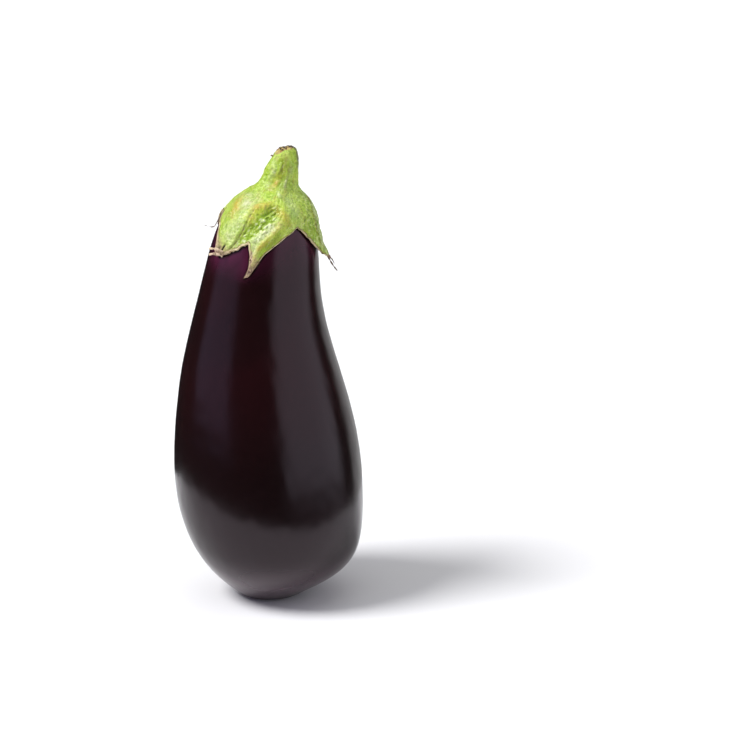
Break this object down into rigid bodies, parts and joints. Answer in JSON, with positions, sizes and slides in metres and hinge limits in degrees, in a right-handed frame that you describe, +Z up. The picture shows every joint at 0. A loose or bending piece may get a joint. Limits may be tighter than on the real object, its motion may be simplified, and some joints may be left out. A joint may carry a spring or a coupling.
{
  "type": "eggplant",
  "caption": "Whole ripe eggplant: a pear-shaped dark purple fruit standing on its blossom end, with a green lobed calyx and a short cut stem on top.",
  "frame": {"origin": "middle of the small flat spot on the blossom end, on the surface that the eggplant stands on", "axes": "+Z up, from the flat spot towards the stem; +X to the right of the side that the picture shows, where the stem leans and a calyx tip stands off; -Y towards the viewer of that side"},
  "size_m": [0.0946, 0.094, 0.2283],
  "materials": {
    "aubergine_skin": "smooth, waxy, very dark purple skin with a soft gloss",
    "calyx_green": "fleshy yellow-green, slightly waxy, with paler patches and dry tan margins"
  },
  "bodies": {
    "root": {"fruit": "aubergine_skin", "calyx_with_stem": "calyx_green"}
  },
  "joints": []
}
